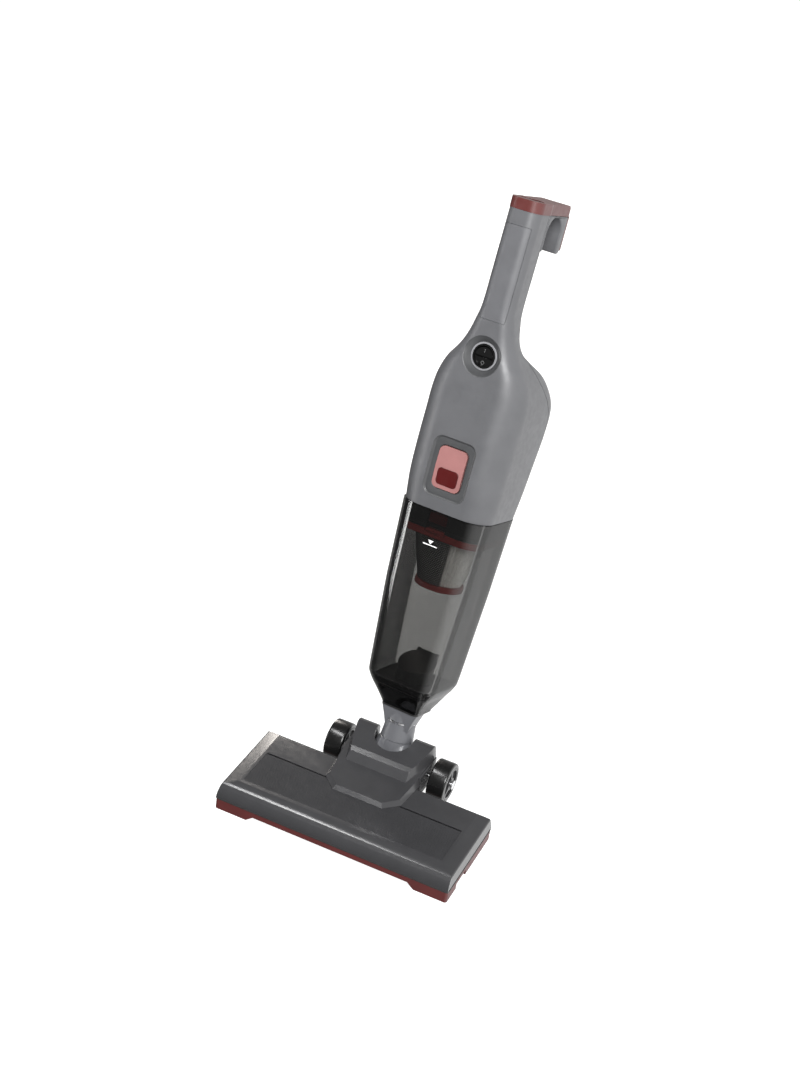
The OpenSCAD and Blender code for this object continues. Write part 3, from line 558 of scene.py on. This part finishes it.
def front_surface(x, s):
    """Front of the housing, as a y value, at a place across and along the stick."""
    _, a, f, _, rf, _ = section_at(HOUSING, s)
    over = abs(x) - (a - rf)
    if over <= 0:
        return -f
    return rf - f - math.sqrt(max(rf * rf - over * over, 0))


INSERT_WALL = 1.4


def on_front(name, rings, material):
    """A moulded insert in the housing's front. Each ring is an outline, how far it lies below
    the local surface, and how much it leaves that surface for a flat at y = level."""
    points = []
    for outline, depth, share, level in rings:
        points.append([(x, (front_surface(x, s) + depth) * (1 - share) + level * share, s)
                       for x, s in outline])
    back = [[(x, y + INSERT_WALL, s) for x, y, s in ring] for ring in points]
    inner = [[(x * 0.998, y, s) for x, y, s in ring] for ring in reversed(back)]
    return stacked(name, points + inner, material, STICK, loop=True)


# ---- Motor unit ----

SEAM = [(38, 240), (38, 372), (30, 392), (-4, 428), (-18, 450), (-20, 466), (-16, 600),
        (95, 600), (95, 240)]
SEAM_HALF = 0.45
# In front of the whole housing, where the cutting tools start
AHEAD = -60
BUTTON_S = 316
BUTTON_HALF = (15.5, 21.5)
HOLE_GAP = 0.7
HOLE_R = 6.6
FIELD_HALF = (24, 31)
FIELD_R = 10
FIELD_Y = -49.2
SWITCH_S = 432
DISH_R = 20.5
GRIP_HALF = 13.5
GRIP_S = (468, 562)
CAP_TOP = 588
SOCKET_Y = -26.5
# How far the centres of the socket's two arcs lie from its middle
SOCKET_SHIFT = 10.5
HOOK_BACK = 34
HOOK_HALF = 16
SLOT_PITCH = 5.4


def behind_seam(name, gap):
    outline = [(y + gap, s) for y, s in SEAM]
    corners = outline[1:6]
    soft = [outline[0]]
    for a, b, c in zip(outline, corners, outline[2:]):
        soft += [mixed(b, a, 0.18), mixed(b, c, 0.18)]
    return prism(name, soft + outline[6:], -90, 90, "x", "housing", STICK)


def grip_block(name, gap, depth):
    low, high = GRIP_S[0] - gap, GRIP_S[1] + gap
    outline = rounded_outline(GRIP_HALF + gap, (high - low) / 2, 1.2, 4, 0, (low + high) / 2)
    block = prism(name, outline, AHEAD, -34, "y", "inlay", STICK)
    core = lofted("grip_core", between(HOUSING, low - 5, high + 5), depth, "inlay")
    return combine(block, core, "DIFFERENCE")


def housing_front():
    shell = lofted_shell("housing_front", HOUSING, WALL, "housing")
    combine(shell, behind_seam("seam_tool", -SEAM_HALF), "DIFFERENCE")
    field = rounded_outline(*FIELD_HALF, FIELD_R, 12, 0, BUTTON_S)
    combine(shell, prism("field_tool", field, AHEAD, -40, "y", "housing", STICK), "DIFFERENCE")
    dish = circle(DISH_R, 96, 0, SWITCH_S)
    combine(shell, prism("dish_tool", dish, AHEAD, -30, "y", "housing", STICK), "DIFFERENCE")
    combine(shell, grip_block("grip_tool", 0.3, 1.8), "DIFFERENCE")
    finish_mesh(shell, 32)
    return place_piece(shell, "motor_unit", "housing", "front_shell")


def button_surround():
    """The sunk field round the release button, with a soft rim and an opening."""
    def at(inset, depth, share, level):
        w, h = FIELD_HALF[0] - inset, FIELD_HALF[1] - inset
        outline = rounded_outline(w, h, max(FIELD_R - inset, 6.9), 12, 0, BUTTON_S)
        return outline, depth, share, level
    rings = [at(0, 0, 0, 0), at(0.35, 0.08, 0, 0), at(0.8, 0.35, 0, 0), at(1.25, 0.85, 0, 0),
             at(1.7, 1.4, 0.2, FIELD_Y), at(2.2, 1.8, 0.6, FIELD_Y), at(2.9, 2, 1, FIELD_Y),
             at(3.6, 2, 1, FIELD_Y)]
    hole_w, hole_h = BUTTON_HALF[0] + HOLE_GAP, BUTTON_HALF[1] + HOLE_GAP
    for grow, y in ((0.7, FIELD_Y), (0.35, FIELD_Y + 0.1), (0.1, FIELD_Y + 0.35),
                    (0, FIELD_Y + 0.7), (0, FIELD_Y + 2.6)):
        outline = rounded_outline(hole_w + grow, hole_h + grow, HOLE_R + grow, 12, 0, BUTTON_S)
        rings.append((outline, 0, 1, y))
    # The insert is finished darker than the housing: painted shade in the sunk field.
    piece = on_front("button_surround", rings, "recess_painted_shade")
    return place_piece(piece, "motor_unit", "housing")


def switch_dish():
    """The round dish that the power switch sits in."""
    def at(r, depth, share, y):
        return circle(r, 96, 0, SWITCH_S), depth, share, y
    rings = [at(DISH_R, 0, 0, 0), at(20.15, 0.1, 0, 0), at(19.7, 0.45, 0, 0),
             at(19.2, 1.0, 0.1, -45.6), at(18.4, 1.8, 0.5, -45.2), at(17.4, 2, 1, -44.3),
             at(15.6, 0, 1, -42.3), at(14.8, 0, 1, -41.5), at(14.3, 0, 1, -41),
             at(14.2, 0, 1, -39.5)]
    # The dish is finished darker than the housing: painted shade in the sunk dish.
    piece = on_front("switch_dish", rings, "recess_painted_shade")
    return place_piece(piece, "motor_unit", "housing")


def grip_panel():
    block = grip_block("grip_panel", 0, 1.5)
    skin = lofted("grip_skin", between(HOUSING, 460, 570), 0, "inlay")
    combine(block, skin, "INTERSECT")
    finish_mesh(block, 32)
    return place_piece(block, "motor_unit", "inlay", "grip_inlay")


def cap_socket():
    """A dark lining in the lens-shaped socket in the cap, a dark copy of the cap's red: painted
    shade in the deep opening.
    """
    def lens(r, height):
        half = math.degrees(math.acos(SOCKET_SHIFT / r))
        arc = [(r * math.cos(a), r * math.sin(a) - SOCKET_SHIFT)
               for a in (math.radians(90 + half * k / 13) for k in range(-13, 13))]
        return [(sign * x, sign * y + SOCKET_Y, height) for sign in (1, -1) for x, y in arc]
    outer, inner, rim = 18.35, 17.5, CAP_TOP - 0.4
    rings = [lens(outer, 577.4), lens(outer, rim), lens(inner, rim), lens(inner, 578.6)]
    piece = stacked("cap_socket", rings, "socket_painted_shade", STICK)
    return place_piece(piece, "motor_unit", "cap_red")


def hook_block():
    """The hanging hook: a block behind the handle with an arched gap."""
    front, top, foot = -12, 577, 541
    gap_front, gap_back = -8.6, 24.5
    gap_mid = (gap_front + gap_back) / 2
    gap_r = (gap_back - gap_front) / 2
    arch = arc_points(gap_mid, 559, gap_r, 0, 24, 180)
    outline = ([(front, top), (front, foot), (gap_front, foot)] + arch[::-1]
               + [(gap_back, foot), (gap_back + 1.2, foot - 1.6), (HOOK_BACK - 4, foot - 2),
                  (HOOK_BACK - 1, foot - 0.4), (HOOK_BACK, foot + 3), (HOOK_BACK, top)])
    block = prism("hook_block", outline, -HOOK_HALF, HOOK_HALF, "x", "housing", STICK)
    return bevelled(block, 1.6, 4, 40)


def housing_rear():
    shell = lofted_shell("housing_rear", HOUSING, WALL, "housing")
    combine(shell, behind_seam("seam_tool", SEAM_HALF), "INTERSECT")
    hook = hook_block()
    core = lofted("hook_core", between(HOUSING, 520, 576.9), 0.6, "housing")
    combine(hook, core, "DIFFERENCE")
    combine(shell, hook, "UNION")
    for k in range(9):
        outline = rounded_outline(28, 1.2, 1.19, 5, 0, 329.2 + SLOT_PITCH * k)
        combine(shell, prism("slot", outline, 30, 70, "y", "housing", STICK), "DIFFERENCE")
    combine(shell, prism("gland_hole", circle(6.3, 48, 0, 290), 30, 60, "y", "housing", STICK),
            "DIFFERENCE")
    finish_mesh(shell, 32)
    return place_piece(shell, "motor_unit", "housing_rear", "rear_shell")


def rocker_marks():
    """Raised marks on the rocker: a bar at the top and a ring at the bottom."""
    ring = [(1.9, 0), (1.9, 0.18), (1.4, 0.18), (1.4, 0)]
    turn = Matrix.Rotation(math.radians(90), 4, "X")
    low = STICK @ Matrix.Translation((0, -40.45, 425.4)) @ Matrix.Rotation(
        math.radians(14), 4, "X") @ turn
    piece = lathe("rocker_mark_off", ring, low, "mark_grey", 40)
    place_piece(piece, "power_rocker", "mark_white")
    high = STICK @ Matrix.Translation((0, -41.85, 437.4))
    bar = prism("rocker_mark_on", rounded_outline(0.25, 1.7, 0.2, 4), -0.22, 0.1, "y",
                "mark_grey", high)
    place_piece(bar, "power_rocker", "mark_white")


# ---- Dust cup and filter ----

CUP_WALL = 2.2


def softened(sections, reach, steps):
    """Straight runs between sections, with each kink rounded over a reach in mm."""
    out = [sections[0]]
    for before, here, after in zip(sections, sections[1:], sections[2:]):
        for k in range(steps + 1):
            t = k / steps
            a = mixed(here, before, min(1, reach / (here[0] - before[0])) * 0.5)
            b = mixed(here, after, min(1, reach / (after[0] - here[0])) * 0.5)
            out.append(mixed(mixed(a, here, t), mixed(here, b, t), t))
    return out + [sections[-1]]


def cup_shell():
    sections = softened(CUP, 5, 6)
    piece = lofted_shell("cup_shell", sections, CUP_WALL, "clear_cup", 16)
    finish_mesh(piece, 30)
    return place_piece(piece, "cup", "clear_cup", "dust_cup")


# Height of the filter's cone along the stick
FILTER_SPAN = (191.2, 242.8)


def pleats():
    """Folded filter paper round a cone."""
    count = 44
    low, high = FILTER_SPAN
    rings = []
    for j in range(9):
        t = j / 8
        ring = []
        for i in range(count * 6):
            fold = 0.5 + 0.5 * math.cos(math.tau * i / 6)
            r = (20.2 + 2.5 * fold ** 0.7) * (1 + t * (37.6 / 22.8 - 1))
            a = math.tau * i / (count * 6)
            ring.append((r * math.cos(a), r * math.sin(a), low + (high - low) * t))
        rings.append(ring)
    for j in range(5):
        t = 1 - j / 4
        r = 17.6 + t * (31 - 17.6)
        rings.append([(r * math.cos(math.tau * i / (count * 6)),
                       r * math.sin(math.tau * i / (count * 6)), low + (high - low) * t)
                      for i in range(count * 6)])
    piece = stacked("pleats", rings, "filter_paper", STICK, loop=True)
    return place_piece(piece, "filter_set", "filter_paper", "pleated_filter")


SCREEN_SWEEP = 0.66 * math.pi


def screen():
    """A perforated part of a cone: a staggered field of square cells, each with a round hole."""
    rows, columns = 26, 31
    low, high = FILTER_SPAN
    r_low, r_high = 23.7, 38.9
    hole = 0.72

    def at(u, v):
        t = v / rows
        r = r_low + (r_high - r_low) * t
        a = math.pi + SCREEN_SWEEP * u / columns
        return (r * math.cos(a), r * math.sin(a), low + (high - low) * t)

    points, faces = [], []
    for row in range(rows):
        shift = 0.5 * (row % 2)
        for column in range(columns - 1):
            base = len(points)
            cu, cv = column + 0.5 + shift, row + 0.5
            for k in range(8):
                a = math.tau * k / 8
                reach = 0.5 / max(abs(math.cos(a)), abs(math.sin(a)))
                points.append(at(cu + reach * math.cos(a), cv + reach * math.sin(a)))
            for k in range(8):
                a = math.tau * k / 8
                points.append(at(cu + hole * 0.5 * math.cos(a), cv + hole * 0.5 * math.sin(a)))
            faces += [[base + k, base + (k + 1) % 8, base + 8 + (k + 1) % 8, base + 8 + k]
                      for k in range(8)]
    piece = object_from("screen", points, faces, "mesh", STICK)
    finish_mesh(piece, 60)
    solid = piece.modifiers.new("thickness", "SOLIDIFY")
    solid.thickness = 0.35 * MM
    applied(piece)
    return place_piece(piece, "filter_set", "mesh", "mesh_screen")


# ---- Floor head ----

PANEL_PITCH = 1.6
COVER_TOP = 30
COVER_FOOT = 13.8
FRONT_END = -56.4
REAR_END = 56.4
CREST_Y = -36
FACET = (40, 53)


def cover():
    """The head's cover: a rounded front with a flat facet, sloped ends and a sunk field."""
    rise, reach = COVER_TOP - 0.1 - COVER_FOOT, CREST_Y - FRONT_END
    angles = [a for a in range(0, 91, 3) if not FACET[0] < a < FACET[1]]
    front = [(CREST_Y - reach * math.cos(math.radians(a)),
              COVER_FOOT + 0.1 + rise * math.sin(math.radians(a)))
             for a in sorted({*angles, *FACET})]
    side = [(FRONT_END, COVER_FOOT - 1.2), *front, (REAR_END - 9, COVER_TOP)]
    side += [(REAR_END - 9 + 5.5 * math.sin(math.radians(a)),
              COVER_TOP - 5.5 + 5.5 * math.cos(math.radians(a))) for a in range(8, 66, 8)]
    side += [(REAR_END, COVER_FOOT), (REAR_END, COVER_FOOT - 1.2)]
    half, field_edge = 129.6, 114
    end = [(half, COVER_FOOT - 1.2), (half, COVER_FOOT), (half - 1.2, 26.2), (half - 1.7, 27),
           (half - 2.9, 27.5), (field_edge, COVER_TOP)]
    ends = end + [(-x, z) for x, z in reversed(end)]
    piece = prism("cover", side, -140, 140, "x", "head_grey", HEAD)
    combine(piece, prism("ends_tool", ends, -80, 80, "y", "head_grey", HEAD), "INTERSECT")
    field = rounded_outline(111, 25.75, 1.5, 4, 0, -8.75)
    combine(piece, prism("field_tool", field, COVER_TOP - 0.55, 40, "z", "head_grey", HEAD),
            "DIFFERENCE")
    bevelled(piece, 0.35, 2, 14)
    return place_piece(piece, "floor_head", "head_grey", "head_cover")


HOOD_LOW = [(-28, 2), (28, 2), (43, 17), (46, 50), (46, 98), (-46, 98), (-46, 50), (-43, 17)]
HOOD_HIGH = [(-26, 6.4), (26, 6.4), (39.6, 19.4), (43.4, 50), (44, 97.4), (-44, 97.4),
             (-43.4, 50), (-39.6, 19.4)]
# Along the raised block: place, height of its top, half width at the top and at the deck
HOOD_BLOCK = [
    (43.2, 36.9, 35, 36.4),
    (44, 37.9, 34.5, 37),
    (52, 45, 33.5, 39),
    (57, 47.6, 35, 40.5),
    (66, 50, 38.5, 43),
    (86, 55.4, 43, 46),
    (91, 56, 43.4, 46),
    (96, 54, 43.4, 46),
    (98, 50, 43.4, 46),
]
NOTCH_R = 21
NOTCH_Y = 87


def hood():
    """The hood over the pivot: a chamfered deck, a raised block and two arms."""
    def deck_height(y):
        return 33.85 + 0.105 * (y - 6.4)
    rings = [[(x, y, z) for x, y in HOOD_LOW] for z in (29.3, 30.55)]
    rings.append([(x, y, deck_height(y)) for x, y in HOOD_HIGH])
    piece = stacked("pivot_hood", rings, "head_grey", HEAD)
    block = [[(-w_low, y, 34), (w_low, y, 34), (w_top, y, z), (-w_top, y, z)]
             for y, z, w_top, w_low in HOOD_BLOCK]
    combine(piece, stacked("block", block, "head_grey", HEAD), "UNION")
    rear = [(-46, 57.4), (46, 57.4), (46, 98), (-46, 98)]
    combine(piece, prism("rear", rear, 14.2, 39, "z", "head_grey", HEAD), "UNION")
    notch = (arc_points(0, NOTCH_Y, NOTCH_R, 180, 64, 180)
             + [(NOTCH_R, 120), (-NOTCH_R, 120)])
    combine(piece, prism("notch", notch, 5, 80, "z", "head_grey", HEAD), "DIFFERENCE")
    bevelled(piece, 0.7, 3, 12)
    return place_piece(piece, "floor_head", "head_grey", "hood")


def cover_panel():
    """The ribbed plate in the cover's sunk field."""
    low, high = Vector((-110.6, -34.2)), Vector((110.6, 16.8))
    foot, crest = 29.45, 29.98
    count = int((high.y - low.y) / PANEL_PITCH)
    outline = [(low.y, foot - 0.4)]
    for k in range(count):
        y = low.y + k * PANEL_PITCH
        outline += [(y + 0.15, foot), (y + 0.45, crest), (y + 1.05, crest), (y + 1.35, foot)]
    outline += [(high.y, foot), (high.y, foot - 0.4)]
    piece = prism("cover_panel", outline, low.x, high.x, "x", "panel_grey", HEAD)
    return place_piece(piece, "floor_head", "head_grey")


def bristles():
    """Two rows of short tufts along the brush strip."""
    points, faces = [], []
    for row in (-1.1, 1.1):
        for k in range(236):
            x = -94.4 + 0.8 * k + random.uniform(-0.15, 0.15)
            y = -40 + row + random.uniform(-0.2, 0.2)
            lean_x, lean_y = random.uniform(-0.3, 0.3), random.uniform(-0.3, 0.3)
            base = len(points)
            for z, r, t in ((1.9, 0.3, 0), (0.9, 0.27, 0.5), (0.05, 0.1, 1)):
                points += [(x + lean_x * t + r * math.cos(a), y + lean_y * t + r * math.sin(a), z)
                           for a in (0, math.tau / 3, 2 * math.tau / 3)]
            for ring in (0, 3):
                faces += [[base + ring + i, base + ring + (i + 1) % 3,
                           base + ring + 3 + (i + 1) % 3, base + ring + 3 + i] for i in range(3)]
            faces += [[base, base + 2, base + 1], [base + 6, base + 7, base + 8]]
    piece = finish_mesh(object_from("bristles", points, faces, "bristle", HEAD))
    return place_piece(piece, "floor_head", "bristle", "brush_strips")


def tyre(name, node, body):
    """A smooth roller with rounded shoulders."""
    low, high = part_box(node)
    centre = (low + high) / 2
    r, half = (high.z - low.z) / 2 / MM, (high.x - low.x) / 2 / MM
    inner = 17.6
    profile = [(inner, -half + 0.5), (inner + 0.5, -half)]
    profile += [(r - 2 + x, y - half + 2) for x, y in arc_points(0, 0, 2, 270, 6)]
    profile += [(r - 2 + x, y + half - 2) for x, y in arc_points(0, 0, 2, 0, 6)]
    profile += [(inner + 0.5, half), (inner, half - 0.5)]
    place = Matrix.Translation(centre) @ Matrix.Rotation(math.radians(90), 4, "Y") @ HEAD
    piece = lathe(name, profile, place, "tyre_black")
    return place_piece(piece, body, "tyre_black", node)


def floor():
    """A white floor that gives its own light and stays out of the reflections."""
    mesh = bpy.data.meshes.new("floor")
    reach, n = 40.0, 8
    points = [(reach * (2 * i / n - 1), reach * (2 * j / n - 1), -0.0005)
              for i in range(n + 1) for j in range(n + 1)]
    faces = [[i * (n + 1) + j, (i + 1) * (n + 1) + j, (i + 1) * (n + 1) + j + 1,
              i * (n + 1) + j + 1] for i in range(n) for j in range(n)]
    mesh.from_pydata(points, [], faces)
    s = Shader("floor", (0.4, 0.4, 0.4), 0.75)
    s.mottle(s.spread(s.noise(2, 3), 0, 1), 0.01)
    s.main.inputs["Emission Color"].default_value = (1, 1, 1, 1)
    s.main.inputs["Emission Strength"].default_value = 0.85
    mesh.materials.append(s.material)
    made = bpy.data.objects.new("floor", mesh)
    bpy.context.scene.collection.objects.link(made)
    made.visible_glossy = False
    made.visible_diffuse = False


def dress_cad():
    """The CAD nodes get their own finish."""
    for node in frame["nodes"].values():
        slot = node.data.materials[0].name
        for k in range(len(node.material_slots)):
            node.material_slots[k].material = M[slot]


# ---- The scene ----

# CAD nodes whose shape is kept: node, piece, width of the rounded edges in mm
CARRIED = [
    ("top_cap", "cap", 0.8),
    ("release_button", "button_shell", 0.9),
    ("button_pad", "button_inset", 0.3),
    ("switch_bezel", "switch_ring", 0.25),
    ("switch_body", "switch_barrel", 0.25),
    ("switch_rocker", "rocker", 0.3),
    ("latch_tongue", "latch", 0.4),
    ("neck_adapter", "neck_shell", 0),
    ("elbow_barrel", "elbow", 0),
    ("socket_liner", "cup_socket", 0.5),
    ("head_base", "base_plate", 0.5),
    ("head_gasket", "lip", 0.3),
    ("wheel_hub_left", "hub_left", 0),
    ("wheel_hub_right", "hub_right", 0),
    ("filter_flange", "flange", 0.5),
    ("filter_cap", "filter_foot", 0.6),
    ("cord_gland", "gland", 0.4),
    ("vent_grille", "vents", 0.2),
]

make_camera()
bpy.context.scene.view_settings.view_transform = "Standard"
middle = Vector((0, 0.15, 0.3))
head = Vector((0, 0, 0.03))
make_world(Vector((-0.86, -0.22, 0.46)), 0.12, 1.5)
softbox("key", 22, 42, 2.4, 1.1, 1.1, 88, middle)
softbox("top", -54, 69, 1.7, 0.6, 0.2, 9, head)
softbox("left_back", -149, 21, 2.0, 0.5, 0.5, 18, head, (1, 0.94, 0.88))
softbox("strip", -66, 0, 1.0, 0.22, 0.7, 3.5, middle)
floor()
housing_front()
button_surround()
switch_dish()
grip_panel()
housing_rear()
cap_socket()
rocker_marks()
cup_shell()
pleats()
screen()
cover()
hood()
cover_panel()
bristles()
tyre("tyre_left", "wheel_tyre_left", "left_wheel")
tyre("tyre_right", "wheel_tyre_right", "right_wheel")
for row in CARRIED:
    from_cad(*row)
dress_cad()
